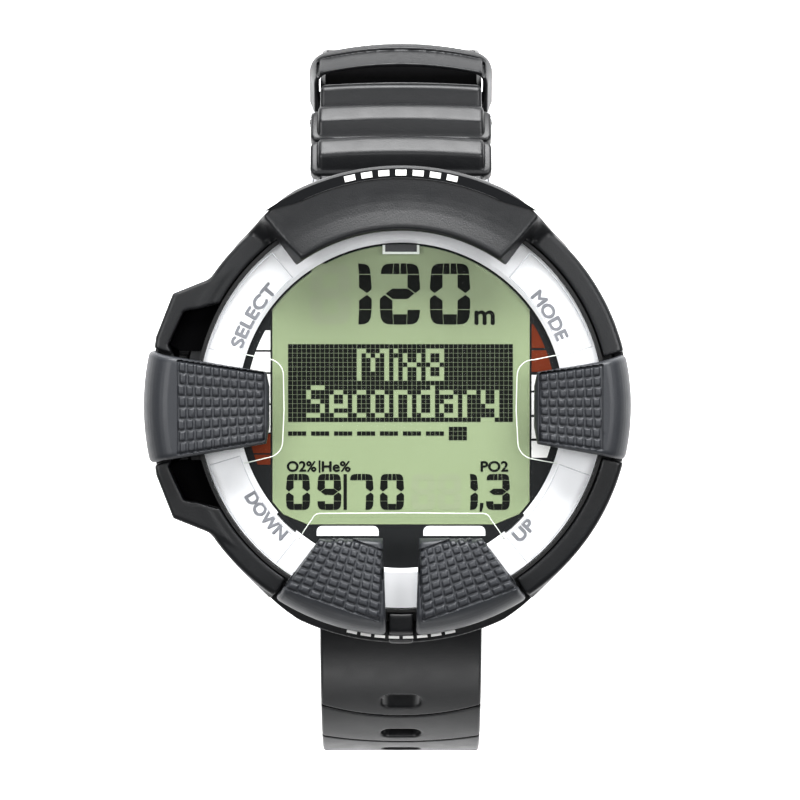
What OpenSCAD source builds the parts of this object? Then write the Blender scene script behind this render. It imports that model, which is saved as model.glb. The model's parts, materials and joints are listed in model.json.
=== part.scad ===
/* [Case] */
// Radius of the round case and bezel
case_r = 29.8; // [29.7:0.05:29.9]
// Height of the flat shelf of the bezel above the case back
shelf_z = 22.6; // [22.5:0.05:22.7]
// Highest point of the bezel arch above the case back
crest_z = 27.8; // [27.5:0.1:28.5]
// Radius of the arched hoods that cover the strap lugs
hood_r = 31.1; // [31:0.05:31.2]

/* [Window and display] */
// Radius of the clear window
window_r = 26.4; // [26.3:0.05:26.4]
// Radius of the opening in the label ring
dial_r = 21.2; // [21:0.1:21.4]
// Half width of the display
display_half_w = 16.75; // [16:0.05:17]

/* [Buttons] */
// Radius at which the button stems stand
stem_ring_r = 25.8; // [25.7:0.05:25.8]
// Travel of a button
press = 0.8; // [0.6:0.05:0.8]
// Radius of a button stem
stem_r = 0.8; // [0.75:0.01:0.8]

/* [Strap] */
// Width of the strap between the lugs
strap_w = 21.9; // [21:0.1:21.9]
// Thickness of the strap
strap_t = 2.6; // [2.4:0.1:2.6]
// Outer radius to which the long strap is moulded
bend_r = 29; // [28.8:0.1:29.2]
// Outer radius to which the short strap is moulded
short_bend_r = 27.4; // [27.2:0.1:27.5]
// Number of slots in the long strap
slot_count = 8; // [5:1:8]

/* [Battery] */
// Radius of the coin cell
cell_r = 12.25; // [12:0.05:12.25]
// Thickness of the coin cell
cell_h = 5; // [4.8:0.1:5]

/* [Hidden] */
$fn = 96;
gap = 0.35;
stack_top = 20.5;
tub_top = 15.4;
tub_r = 28.2;
cavity_r = 26.6;
cavity_half_y = 22.1;
inner_r = 23.3;
under_pad = 23.5;
pad_floor = 20.1 - press;
guard_floor = 14.5;
boss_top = 22.5;
boss_r = 1.9;
clip_r = 1.05;
clip_z = 15.2;
clip_t = 0.28;
recess_z = 22.4;
window_top = 24.1;
board_z = 12.2;
board_t = 1;

lug_y = 26;
lug_z = 6.5;
lug_r = 2.8;
lug_in = 11.1;
lug_out = 13.1;
pin_r = 0.75;
pocket_r = 2.95;

bend_y = 21;
bend_z = lug_z + 1.7 - sqrt(bend_r * bend_r - pow(lug_y - bend_y, 2));
mid_r = bend_r - strap_t / 2;
start_angle = asin((lug_y - bend_y) / bend_r) + 3;
short_bend_z = lug_z + 1.7 - sqrt(short_bend_r * short_bend_r - pow(lug_y - bend_y, 2));
short_mid_r = short_bend_r - strap_t / 2;
short_start_angle = asin((lug_y - bend_y) / short_bend_r) + 3;
flanged_crests = [25.5, 36.4];
plain_crest = 47.3;
keeper_angle = 50;
keeper_span = 8.5;
buckle_angle = 136;
tail_bend_angle = 104;
tail_r = 70;
tail_angle = 52;
// the wide bend of the long strap is this much smaller all round than its tight bend
step = 0.05;
slot_first = 43.5;
slot_pitch = 16.3;
slot_half_w = 2.7;
slot_half_h = 1.35;

screw_angles = [35, 145, 215, 325];
screw_ring_r = 24.2;

// each button: angle of its stem, inner end and outer radius of its pad
BUTTONS = [[180, 17.0, 33.4], [0, 17.4, 29.87], [250.6, 18.2, 29.87], [289.4, 18.2, 29.87]];
SELECT = 0;
MODE = 1;
DOWN = 2;
UP = 3;

// points of an arc around a centre, from angle a to angle b
function arc(cx, cy, r, a, b, n = 8) =
    [for (i = [0:n]) [cx + r * cos(a + (b - a) * i / n), cy + r * sin(a + (b - a) * i / n)]];
// point at radius r and angle a
function polar(r, a) = [r * cos(a), r * sin(a)];

module turned(points) rotate_extrude() polygon(points);
module tube(outer, inner, z0, z1) {
    difference() {
        translate([0, 0, z0]) cylinder(r = outer, h = z1 - z0);
        translate([0, 0, z0 - 1]) cylinder(r = inner, h = z1 - z0 + 2);
    }
}
module o_ring(major, minor, z) {
    rotate_extrude() translate([major, z]) circle(r = minor, $fn = 24);
}
module wedge(a, b, far, z0, z1) {
    n = ceil((b - a) / 30);
    translate([0, 0, z0]) linear_extrude(z1 - z0)
        polygon(concat([[0, 0]], [for (i = [0:n]) polar(far, a + (b - a) * i / n)]));
}
module block(low, high) translate(low) cube(high - low);
module at_ring(r, angles) for (a = angles) translate([r * cos(a), r * sin(a), 0]) children();
module at_stem(i) at_ring(stem_ring_r, [BUTTONS[i][0]]) children();
module at_stems() for (i = [0:3]) at_stem(i) children();
module along_x(x0, x1, r, y, z) {
    translate([x0, y, z]) rotate([0, 90, 0]) cylinder(r = r, h = x1 - x0);
}
module both_sides() {
    children();
    mirror([1, 0, 0]) children();
}
module both_ends() {
    children();
    mirror([0, 1, 0]) children();
}

// ---- case ----

module lug_blocks() {
    both_ends() both_sides() intersection() {
        union() {
            along_x(lug_in, lug_out, lug_r, lug_y, lug_z);
            block([lug_in, 18, lug_z - lug_r], [lug_out, lug_y, 11.9]);
            block([lug_in, lug_y - 0.01, lug_z], [lug_out, lug_y + lug_r, 11.9]);
        }
        cylinder(r = 31, h = 12);
    }
}
module strap_pocket() {
    both_ends() {
        along_x(-lug_in, lug_in, pocket_r, lug_y, lug_z);
        block([-lug_in, lug_y, -1], [lug_in, 40, 11]);
        block([-lug_in, lug_y - pocket_r, -1], [lug_in, lug_y + 1, lug_z]);
    }
}
module case_tub() {
    color("#2b2c2e") difference() {
        union() {
            turned(concat([[0, 0]], arc(23.2, 6, 6, -90, -12, 10), [[29.2, 8], [29.2, 11.9],
                [tub_r, 11.9], [tub_r, tub_top], [0, tub_top]]));
            lug_blocks();
        }
        strap_pocket();
        both_ends() both_sides() along_x(10, 14, pin_r + 0.05, lug_y, lug_z);
        difference() {
            translate([0, 0, 4.4]) cylinder(r = cavity_r, h = 20);
            for (s = [-1, 1]) translate([-30, s * (cavity_half_y + 10) - 10, 0]) cube([60, 20, 12]);
            cylinder(r = 14.4, h = 9.4);
            at_ring(screw_ring_r, screw_angles) cylinder(r = 2.3, h = tub_top);
            at_ring(20, [180]) cylinder(r = 3.6, h = 6.4);
        }
        translate([0, 0, 2.5]) cylinder(r = 12.9, h = 6.1);
        translate([0, 0, -1]) cylinder(r = 17.2, h = 3.5);
        translate([0, 0, 0.8]) cylinder(r = 18.4, h = 1.0);
        intersection() {
            translate([0, 0, -1]) cylinder(r = 18.4, h = 2);
            for (a = [30, 150, 270]) wedge(a + 29, a + 51, 20, -2, 2);
        }
        tube(14.75, 13.65, 2, 3.5);
        tube(27.85, 26.95, tub_top - 0.55, tub_top + 1);
        at_ring(screw_ring_r, screw_angles) {
            translate([0, 0, -1]) cylinder(r = 1.05, h = 20);
            translate([0, 0, -1]) cylinder(r = 2, h = 2.6);
        }
        at_ring(20, [180]) {
            translate([0, 0, 2.9]) cylinder(r = 2.65, h = 4);
            for (x = [-1, 0, 1]) translate([x, 0, -1]) cylinder(r = 0.35, h = 5);
        }
        at_stems() translate([0, 0, 13.4]) cylinder(r = clip_r + 0.07, h = 5);
        at_ring(21.5, [60, 120]) translate([0, 0, -1]) cylinder(r = 0.9, h = 8);
        for (x = [0, 9]) translate([x, 0, 7]) cylinder(r = 1.2, h = 4);
    }
}
module case_seal() {
    color("#1c1c1c") o_ring(27.4, 0.42, tub_top - 0.1);
}
module top_case() {
    color("#1f2022") difference() {
        union() {
            tube(tub_r, inner_r, tub_top + 0.1, stack_top);
            intersection() {
                at_stems() translate([0, 0, 20]) cylinder(r = boss_r, h = boss_top - 20);
                tube(27.9, inner_r, 19, 23);
            }
        }
        at_stems() {
            translate([0, 0, 14]) cylinder(r = stem_r + 0.05, h = 8);
            translate([0, 0, 16.6]) cylinder(r = 1.3, h = 1.2);
            translate([0, 0, 19.6]) cylinder(r = 1.5, h = 4);
        }
        at_ring(screw_ring_r, screw_angles) translate([0, 0, 14]) cylinder(r = 0.8, h = 5.6);
        tube(27.85, 26.95, tub_top, tub_top + 0.35);
        translate([0, 0, tub_top]) cylinder(r = 24.6, h = 1.6);
    }
}
module case_screws() {
    color("silver") at_ring(screw_ring_r, screw_angles) difference() {
        union() {
            translate([0, 0, 0.3]) cylinder(r = 1.85, h = 1.25);
            translate([0, 0, 1.55]) cylinder(r = 0.95, h = 13.8);
            translate([0, 0, 15.35]) cylinder(r = 0.75, h = 3.8);
        }
        translate([0, 0, -0.5]) cylinder(r = 0.8, h = 1.6, $fn = 6);
    }
}
// hood over the lugs of one strap end: a wider arc with straight flanks
module hood_outline() {
    intersection() {
        circle(r = hood_r, $fn = 180);
        polygon([[0, 0], polar(29.8, 44), polar(31.2, 63), [0, 60], polar(31.2, 117), polar(29.8, 136)]);
    }
}
// the guard bar on the left, that holds the wide pad
module guard_outline() {
    both_ends() polygon([[-22, 0], [-22, 18.3], [-24.6, 16.6], [-29.6, 14.6], [-31.7, 9], [-33.2, 0]]);
}
module guard_hole(end) {
    polygon([polar(26.9, 180 + end * -10), polar(26.9, 180 + end * -28), [-23.6, end * -13.4],
        [-28.2, end * -12.2], [-30.2, end * -7.9], [-28.9, end * -5.2]]);
}
module pad_outline(i, grow) {
    a = BUTTONS[i][0];
    if (i == SELECT) polygon([[-17 + grow, 0], [-17.4 + grow, 4.5 + grow], [-30.6, 6.7 + grow],
        [-36, 8.6 + grow], [-36, -8.6 - grow], [-30.6, -6.9 - grow], [-17.4 + grow, -4.8 - grow]]);
    if (i == MODE) polygon([[17.2 - grow, 0], [17.6 - grow, 4.5 + grow], [25.6, 5.8 + grow],
        [33, 8 + grow], [33, -8 - grow], [25.6, -6.2 - grow], [17.6 - grow, -4.8 - grow]]);
    if (i == DOWN) polygon([[-2.3 + grow, -17 + grow], [-10.6 - grow, -17 + grow],
        [-14.5 - grow, -22.2], [-15.6 - grow, -24], [-20.6 - grow, -29], [-14, -36],
        [-1.7 + grow, -36]]);
    if (i == UP) mirror([1, 0]) pad_outline(DOWN, grow);
}
module pad_gaps(low) {
    for (i = [0:3]) translate([0, 0, low]) linear_extrude(20) pad_outline(i, gap);
}
module bezel_arch() {
    intersection() {
        turned([[22.7, 24.5], [22.7, crest_z - 0.9], [23.4, crest_z], [27.2, crest_z - 1.8],
            [30.6, crest_z - 2.3], [hood_r, crest_z - 2.8], [hood_r, 13], [28.5, 13],
            [28.5, shelf_z - 1], [26.9, shelf_z - 0.6], [26.9, 24.5]]);
        difference() {
            wedge(49, 131, 60, 12, 30);
            for (s = [0, 1]) mirror([s, 0, 0]) rotate([0, 0, 52.4]) translate([0, 0, 26])
                rotate([-24, 0, 0]) translate([-1, -20, -40]) cube([60, 20, 80]);
        }
        union() {
            translate([0, 0, 12]) linear_extrude(20) hood_outline();
            translate([0, 0, 12]) linear_extrude(20) circle(r = 29.8);
        }
    }
}
module bezel() {
    color("#26272a") difference() {
        union() {
            difference() {
                turned([[28.35, 12], [29.4, 12], [case_r, 12.8], [case_r, 21.6], [29.1, shelf_z],
                    [27.2, shelf_z], [26.9, shelf_z - 0.3], [26.9, 20.6], [28.35, 20.6]]);
                translate([0, 0, 20]) linear_extrude(4) for (e = [-1, 1]) guard_hole(e);
            }
            both_ends() difference() {
                union() {
                    translate([0, 0, 12]) linear_extrude(8.2) hood_outline();
                    translate([0, 0, 20.19]) linear_extrude(0.8) intersection() {
                        hood_outline();
                        circle(r = hood_r - 0.5);
                    }
                }
                translate([0, 0, 11]) cylinder(r = 28.35, h = 12);
            }
            difference() {
                translate([0, 0, 13]) linear_extrude(shelf_z - 13) guard_outline();
                translate([0, 0, 12]) cylinder(r = 28.35, h = 12);
                translate([0, 0, guard_floor]) linear_extrude(10) for (e = [-1, 1]) guard_hole(e);
            }
            bezel_arch();
        }
        pad_gaps(pad_floor);
        translate([0, 0, 21]) cylinder(r = window_r + 0.45, h = 3.3);
    }
}

// ---- window and dial ----

module bottom_recess() {
    polygon([[-10.4, -14.4], [10.4, -14.4], [11.4, -15], [13.4, -17.3], [18, -24], [19, -28],
        [-19, -28], [-18, -24], [-13.4, -17.3], [-11.4, -15]]);
}
module side_recess(x, top, low) {
    s = sign(x);
    polygon(concat([[s * 30, top + 1.6], [s * 20.3, top + 0.2]],
        s < 0 ? concat(arc(x - 2, top - 2.6, 2, 80, 10, 5), arc(x - 2, low + 2.6, 2, -10, -80, 5))
            : concat(arc(x + 2, top - 2.6, 2, 100, 170, 5), arc(x + 2, low + 2.6, 2, 190, 260, 5)),
        [[s * 20.3, low - 0.2], [s * 30, low - 1.6]]));
}
module recess_outline() {
    side_recess(-15.2, 6.6, -7.2);
    side_recess(15, 6.6, -7.2);
    bottom_recess();
}
module label_panel(a, b) {
    difference() {
        intersection() {
            turned([[21.7, window_top - 0.5], [21.7, window_top], [22.3, window_top + 0.5],
                [25.2, window_top + 0.5], [25.8, window_top], [25.8, window_top - 0.5]]);
            wedge(a, b, 40, 22, 26);
        }
        for (s = [[a, -1], [b, 1]]) rotate([0, 0, s[0]]) translate([0, 0, window_top])
            rotate([s[1] * -45, 0, 0]) translate([10, -5, 0]) cube([30, 10, 5]);
    }
}
module front_window() {
    color([0.8, 0.85, 0.85, 0.3]) difference() {
        union() {
            turned([[0, 21.35], [window_r, 21.35], [window_r, window_top - 0.4],
                [window_r - 0.4, window_top], [0, window_top]]);
            for (s = [[17.5, 47], [133, 163], [197, 231.5], [309, 340]]) label_panel(s[0], s[1]);
        }
        translate([0, 0, recess_z]) linear_extrude(5) recess_outline();
        at_stems() translate([0, 0, 20]) cylinder(r = boss_r + 0.2, h = 6);
    }
}
module window_gasket() {
    color("#101010") difference() {
        tube(26.85, window_r + 0.03, stack_top + 0.05, recess_z);
        at_stems() translate([0, 0, 20]) cylinder(r = boss_r + 0.2, h = 6);
    }
}
module label_ring() {
    color("#e6e7e8") difference() {
        turned([[dial_r, stack_top + 0.05], [window_r - 0.05, stack_top + 0.05],
            [window_r - 0.05, 21.3], [dial_r + 0.5, 21.3], [dial_r, 21]]);
        at_stems() translate([0, 0, 20]) cylinder(r = boss_r + 0.2, h = 6);
    }
}
module display_outline(grow) {
    intersection() {
        circle(r = 20.9 + grow);
        polygon([[-display_half_w - grow, 30], [-display_half_w - grow, -13.6],
            [-12.2 - grow, -15.5 - grow], [12.2 + grow, -15.5 - grow],
            [display_half_w + grow, -13.6], [display_half_w + grow, 30]]);
    }
}
module dial_plate() {
    color("#161718") difference() {
        translate([0, 0, 19.9]) cylinder(r = 23.1, h = 0.5);
        translate([0, 0, 19]) linear_extrude(3) display_outline(0.1);
    }
}
module lcd_panel() {
    color("#c3cdb0") translate([0, 0, 19.2]) linear_extrude(1.2) display_outline(0);
}
module light_guide() {
    color([0.9, 0.95, 0.9, 0.6]) block([-15, -11, 18], [15, 11, 19.1]);
}
module contact_strips() {
    color("#c98aa0") for (s = [-1, 1]) block([-14, s * 13 - 0.9, board_z + board_t],
        [14, s * 13 + 0.9, 19.15]);
}
module display_frame() {
    color("white") difference() {
        intersection() {
            translate([0, 0, 14.4]) cylinder(r = 23, h = 5.4);
            block([-21, -18.5, 14], [21, 18.5, 19.8]);
        }
        translate([0, 0, 18]) linear_extrude(3) display_outline(0.15);
        block([-15.1, -11.1, 16], [15.1, 11.1, 20]);
        for (s = [-1, 1]) block([-14.1, s * 13 - 1, 13], [14.1, s * 13 + 1, 20]);
        block([-14, -10.5, 14], [14, 10.5, 17]);
        for (x = [-18.6, 18.6]) for (y = [-8.5, 8.5]) translate([x, y, 14]) cylinder(r = 0.7, h = 4);
        at_ring(screw_ring_r, screw_angles) translate([0, 0, 14]) cylinder(r = 2.5, h = 1.6);
    }
    color("white") for (x = [-18.6, 18.6]) for (y = [-8.5, 8.5])
        translate([x, y, 0]) tube(1.6, 0.7, board_z + board_t, 14.41);
}
module frame_screws() {
    color("silver") for (x = [-18.6, 18.6]) for (y = [-8.5, 8.5]) translate([x, y, 0]) {
        translate([0, 0, board_z - 0.9]) cylinder(r = 1.3, h = 0.9);
        translate([0, 0, board_z - 0.01]) cylinder(r = 0.65, h = 4.5);
    }
}

// ---- electronics ----

module circuit_board() {
    color("#1f5d3a") difference() {
        translate([0, 0, board_z]) cylinder(r = 26.3, h = board_t);
        at_ring(screw_ring_r, screw_angles) cylinder(r = 2.6, h = 20);
        for (x = [-18.6, 18.6]) for (y = [-8.5, 8.5]) translate([x, y, 0]) cylinder(r = 0.7, h = 20);
    }
}
module processor_chip() {
    color("#222222") block([-5, -5, board_z + board_t], [5, 5, 14.4]);
    color("silver") for (s = [-1, 1]) for (i = [-3:3])
        block([i * 1.2 - 0.2, s * 5.5 - 0.5, board_z + board_t], [i * 1.2 + 0.2, s * 5.5 + 0.5, 13.4]);
}
module memory_chip() {
    color("#2a2a2a") block([8, -3, board_z + board_t], [12, 3, 14.3]);
}
module crystal_can() {
    color("silver") block([-12, -2, board_z + board_t], [-8.5, 5, 14.3]);
}
module dome_switches() {
    color("#d5d5d5") for (button = BUTTONS) rotate(button[0])
        translate([stem_ring_r - 0.95, 0, board_z + board_t]) {
            block([-1.35, -1.5, 0], [1.35, 1.5, 0.5]);
            intersection() {
                translate([0, 0, -0.72]) sphere(r = 1.71);
                translate([0, 0, 0.4]) cylinder(r = 2, h = 1);
            }
        }
}
module buzzer() {
    color("#b08d3e") translate([20, 0, 8.7]) {
        cylinder(r = 4.6, h = 0.3);
        translate([0, 0, 0.29]) cylinder(r = 3, h = 0.25);
    }
    color("#111111") translate([20, 0, 0]) tube(5.2, 4.2, 9, 10.8);
}
module pressure_sensor() {
    color("silver") translate([-20, 0, 0]) {
        translate([0, 0, 3.9]) cylinder(r = 2.55, h = 2.8);
        translate([0, 0, 6.69]) cylinder(r = 1.6, h = 5.4);
    }
}
module sensor_seal() {
    color("#1c1c1c") translate([-20, 0, 0]) o_ring(2.1, 0.46, 3.4);
}
module water_contacts() {
    color("silver") at_ring(21.5, [60, 120]) {
        translate([0, 0, 0.2]) cylinder(r = 0.87, h = 11.9);
    }
}
module receiver_core() {
    color("#3a3a3a") translate([-8, -18.2, 8.2]) rotate([0, 90, 0]) cylinder(r = 1.2, h = 16);
}
module receiver_coil() {
    color("#b5651d") difference() {
        translate([-6, -18.2, 8.2]) rotate([0, 90, 0]) cylinder(r = 2.1, h = 12);
        translate([-9, -18.2, 8.2]) rotate([0, 90, 0]) cylinder(r = 1.22, h = 20);
    }
}
module battery() {
    color("silver") turned([[0, 3.1], [cell_r - 1.2, 3.1], [cell_r, 3.5], [cell_r, 2.9 + cell_h],
        [cell_r - 0.2, 3.1 + cell_h], [0, 3.1 + cell_h]]);
}
module battery_contacts() {
    color("#d4af37") {
        translate([0, 0, 8.12]) cylinder(r = 4, h = 0.3);
        translate([0, 0, 8.4]) cylinder(r = 0.8, h = 3.78);
        translate([9, 0, 8.12]) cylinder(r = 1.8, h = 0.3);
        translate([9, 0, 8.4]) cylinder(r = 0.8, h = 3.78);
    }
}
module battery_cover() {
    color("#2b2c2e") union() {
        cylinder(r = 13.9, h = 1.8);
        translate([0, 0, 1.75]) cylinder(r = 16.9, h = 0.7);
        translate([0, 0, 2.44]) cylinder(r = 12.5, h = 0.6);
    }
}
module cover_seal() {
    color("#1c1c1c") o_ring(14.2, 0.46, 2.95);
}
module cover_lock_ring() {
    color("#3a3b3e") difference() {
        union() {
            tube(17.1, 14, 0, 1.7);
            intersection() {
                tube(18.3, 16, 0.9, 1.7);
                for (a = [30, 150, 270]) wedge(a - 10, a + 10, 20, 0, 3);
            }
        }
        for (a = [0:20:340]) rotate([0, 0, a])
            translate([0, 0, -0.5]) block([14.6, -0.5, 0], [16.3, 0.5, 1]);
    }
}

// ---- buttons ----

module stem_seals() {
    color("#1c1c1c") at_stems() o_ring(1.05, 0.21, 17.2);
}
module pad_body(i) {
    inner = BUTTONS[i][1] - 1.4;
    outer = BUTTONS[i][2];
    flat_r = i == SELECT ? 29.2 : 26.4;
    side = outer - flat_r;
    difference() {
        intersection() {
            turned(concat([[inner - 0.4, under_pad], [inner - 0.4, 24.3], [inner + 0.3, 24.9]],
                arc(flat_r - 1, 1, 26, 107, 90, 5),
                [for (p = arc(0, 0, 1, 78, 0, 7)) [flat_r + side * p[0], 22.2 + 4.75 * p[1]]],
                [[outer, 20.2], [outer - 1.55, 20.2], [outer - 1.55, under_pad]]));
            translate([0, 0, 19]) linear_extrude(12) pad_outline(i, 0);
        }
        at_stem(i) translate([0, 0, 20]) cylinder(r = stem_r, h = 5.2);
        translate([0, 0, 19]) cylinder(r = 28.32, h = 4.4);
    }
}
module stem(i) {
    color("silver") at_stem(i) difference() {
        translate([0, 0, 15]) cylinder(r = stem_r, h = 10.1);
        translate([0, 0, clip_z - 0.02]) tube(2, 0.55, 0, clip_t + 0.04);
    }
}
module clip(i) {
    color("#777777") at_stem(i) difference() {
        translate([0, 0, clip_z]) cylinder(r = clip_r, h = clip_t);
        translate([0, 0, 15]) cylinder(r = 0.56, h = 1);
        block([0, -0.5, 15], [2, 0.5, 16]);
    }
}
module spring(i) {
    turns = 4;
    steps = 12;
    coil_r = 1.2;
    wire = 0.13;
    low = 19.62 + wire;
    high = under_pad - 0.02 - wire;
    color("silver") at_stem(i) {
        polyhedron(
            points = [for (k = [0:turns * steps], j = [0:5]) let (a = 360 * k / steps,
                z = low + (high - low) * k / (turns * steps), r = coil_r + wire * cos(60 * j))
                [r * cos(a), r * sin(a), z + wire * sin(60 * j)]],
            faces = concat([[for (j = [0:5]) j]], [[for (j = [5:-1:0]) turns * steps * 6 + j]],
                [for (k = [0:turns * steps - 1], j = [0:5]) let (n = (j + 1) % 6)
                    [k * 6 + j, k * 6 + 6 + j, k * 6 + 6 + n, k * 6 + n]]));
    }
}
module select_pad() color("#303134") pad_body(SELECT);
module select_stem() stem(SELECT);
module select_clip() clip(SELECT);
module select_spring() spring(SELECT);
module mode_pad() color("#303134") pad_body(MODE);
module mode_stem() stem(MODE);
module mode_clip() clip(MODE);
module mode_spring() spring(MODE);
module down_pad() color("#303134") pad_body(DOWN);
module down_stem() stem(DOWN);
module down_clip() clip(DOWN);
module down_spring() spring(DOWN);
module up_pad() color("#303134") pad_body(UP);
module up_stem() stem(UP);
module up_clip() clip(UP);
module up_spring() spring(UP);

// ---- straps ----

// a band bent about an axis along x, from angle a to angle b away from straight up, towards +y
module bent(cy, cz, r0, r1, half_w, a, b, edge = 0.5) {
    translate([0, cy, cz]) rotate([0, 90, 0]) rotate([0, 0, 180 - b]) rotate_extrude(angle = b - a)
        polygon([[r0, edge - half_w], [r0 + edge, -half_w], [r1 - edge, -half_w], [r1, edge - half_w],
            [r1, half_w - edge], [r1 - edge, half_w], [r0 + edge, half_w], [r0, half_w - edge]]);
}
// places children on a strap's bend at an angle: x across, y along the strap, z outwards
module on_bend(r, a, z = bend_z) {
    translate([0, bend_y + r * sin(a), z + r * cos(a)]) rotate([-a, 0, 0]) children();
}
module on_short_bend(r, a) on_bend(r, a, short_bend_z) children();
module strap_eye() {
    along_x(-strap_w / 2, strap_w / 2, 2.6, lug_y, lug_z);
}
module buckle_strap() {
    color("#2e2f31") difference() {
        union() {
            strap_eye();
            bent(bend_y, short_bend_z, short_bend_r - strap_t, short_bend_r, strap_w / 2,
                short_start_angle, buckle_angle);
            for (a = flanged_crests)
                on_short_bend(short_bend_r - 1.2, a)
                    along_x(-strap_w / 2 - 0.2, strap_w / 2 + 0.2, 2.7, 0, 0);
            on_short_bend(short_bend_r - 0.3, plain_crest)
                along_x(-strap_w / 2 - 0.1, strap_w / 2 + 0.1, 1.8, 0, 0);
            for (a = flanged_crests) on_short_bend(short_bend_r - 1.5, a) along_x(-12.2, 12.2, 2.2, 0, 0);
            on_short_bend(short_mid_r, buckle_angle) along_x(-strap_w / 2, strap_w / 2, 2.4, 0, 0);
        }
        // the flanged crests stand on the outer side only
        bent(bend_y, short_bend_z, short_bend_r - strap_t - 3, short_bend_r - strap_t + step, 14, 19, 45);
        along_x(-20, 20, pin_r + 0.05, lug_y, lug_z);
        on_short_bend(short_mid_r, buckle_angle) {
            along_x(-20, 20, 1.05, 0, 0);
            block([-2.9, -3.4, -5], [2.9, 10, 5]);
        }
    }
}
module strap_keeper() {
    color("#2a2b2d") difference() {
        bent(bend_y, short_bend_z, short_bend_r - strap_t - 1.5, short_bend_r + 4.6, strap_w / 2 + 1.75,
            keeper_angle, keeper_angle + keeper_span, 1.2);
        bent(bend_y, short_bend_z, short_bend_r - strap_t - 0.1, short_bend_r + 3.1, strap_w / 2 + 0.35,
            keeper_angle - 1, keeper_angle + keeper_span + 1, 0.4);
    }
}
buckle_y = bend_y + short_mid_r * sin(buckle_angle);
buckle_z = short_bend_z + short_mid_r * cos(buckle_angle);
buckle_len = 13;
module buckle_frame() {
    color("#232426") translate([0, buckle_y, buckle_z]) difference() {
        union() {
            block([-13.3, -buckle_len, -1.3], [13.3, 0, 1.3]);
            along_x(-13.3, 13.3, 2.2, 0, 0);
            along_x(-13.3, 13.3, 1.6, -buckle_len, 0);
        }
        block([-11.2, 2.7 - buckle_len, -3], [11.2, 4, 3]);
        along_x(-20, 20, 1, 0, 0);
    }
}
module buckle_pin() {
    color("silver") along_x(-13.2, 13.2, 0.95, buckle_y, buckle_z);
}
module buckle_tang() {
    color("silver") translate([0, buckle_y, buckle_z]) difference() {
        union() {
            along_x(-2.5, 2.5, 2, 0, 0);
            block([-2.4, 2.9 - buckle_len, -1.8], [2.4, 0, -0.4]);
            block([-2.4, -1 - buckle_len, -3.1], [2.4, 4 - buckle_len, -1.65]);
        }
        along_x(-3, 3, 1, 0, 0);
    }
}
tail_mid_r = tail_r - strap_t / 2;
tail_bend_y = bend_y + (bend_r - tail_r) * sin(tail_bend_angle);
tail_bend_z = bend_z + (bend_r - tail_r) * cos(tail_bend_angle);
tail_end_angle = tail_bend_angle + tail_angle;
tip_angle = asin(strap_w / 2 / tail_mid_r);
// slots that lie on the tight bend, and the angle of each later slot on the wide bend
tight_slots = floor((tail_bend_angle - slot_first) / slot_pitch) + 1;
function wide_slot_angle(i) = tail_bend_angle
    + (slot_first + i * slot_pitch - tail_bend_angle) * mid_r / tail_mid_r;
// places children on the wide bend, in the frame of on_bend
module on_tail(r, a) {
    translate([0, tail_bend_y + r * sin(a), tail_bend_z + r * cos(a)]) rotate([-a, 0, 0]) children();
}
// a slot with round ends, across the strap
module slot() {
    translate([0, 0, -4]) linear_extrude(8) {
        square([2 * (slot_half_w - slot_half_h), 2 * slot_half_h], center = true);
        for (s = [-1, 1]) translate([s * (slot_half_w - slot_half_h), 0]) circle(r = slot_half_h);
    }
}
module tail_strap() {
    color("#2e2f31") mirror([0, 1, 0]) difference() {
        union() {
            strap_eye();
            bent(bend_y, bend_z, bend_r - strap_t, bend_r, strap_w / 2, start_angle, tail_bend_angle);
            bent(tail_bend_y, tail_bend_z, tail_r - strap_t + step, tail_r - step, strap_w / 2 - step,
                tail_bend_angle - 0.6, tail_end_angle);
        }
        on_tail(tail_mid_r, tail_end_angle - tip_angle) translate([0, 0, -6]) linear_extrude(12)
            difference() {
                translate([-14, -1.4]) square([28, 20]);
                polygon([[-12.2, -1.4], [-9.2, 6], [-5.5, 9.4], [0, 10.6], [5.5, 9.4], [9.2, 6],
                    [12.2, -1.4]]);
            }
        along_x(-20, 20, pin_r + 0.05, lug_y, lug_z);
        for (i = [0:tight_slots - 1]) on_bend(mid_r, slot_first + i * slot_pitch) slot();
        for (i = [tight_slots:slot_count - 1]) on_tail(tail_mid_r, wide_slot_angle(i)) slot();
    }
}
module strap_pins() {
    color("silver") both_ends() along_x(-13, 13, pin_r, lug_y, lug_z);
}

case_tub();
case_seal();
top_case();
case_screws();
bezel();
front_window();
window_gasket();
label_ring();
dial_plate();
lcd_panel();
light_guide();
contact_strips();
display_frame();
frame_screws();
circuit_board();
processor_chip();
memory_chip();
crystal_can();
dome_switches();
buzzer();
pressure_sensor();
sensor_seal();
water_contacts();
receiver_core();
receiver_coil();
battery();
battery_contacts();
battery_cover();
cover_seal();
cover_lock_ring();
stem_seals();
strap_pins();
select_pad();
select_stem();
select_clip();
select_spring();
mode_pad();
mode_stem();
mode_clip();
mode_spring();
down_pad();
down_stem();
down_clip();
down_spring();
up_pad();
up_stem();
up_clip();
up_spring();
buckle_strap();
strap_keeper();
buckle_frame();
buckle_pin();
buckle_tang();
tail_strap();
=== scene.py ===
"""Looks of the dive computer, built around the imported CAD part. Lengths in this script are millimetres
until a mesh is made, and metres from then on, as in the frame."""

import json
import math

import bpy
import numpy as np
from mathutils import Matrix, Vector


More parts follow.
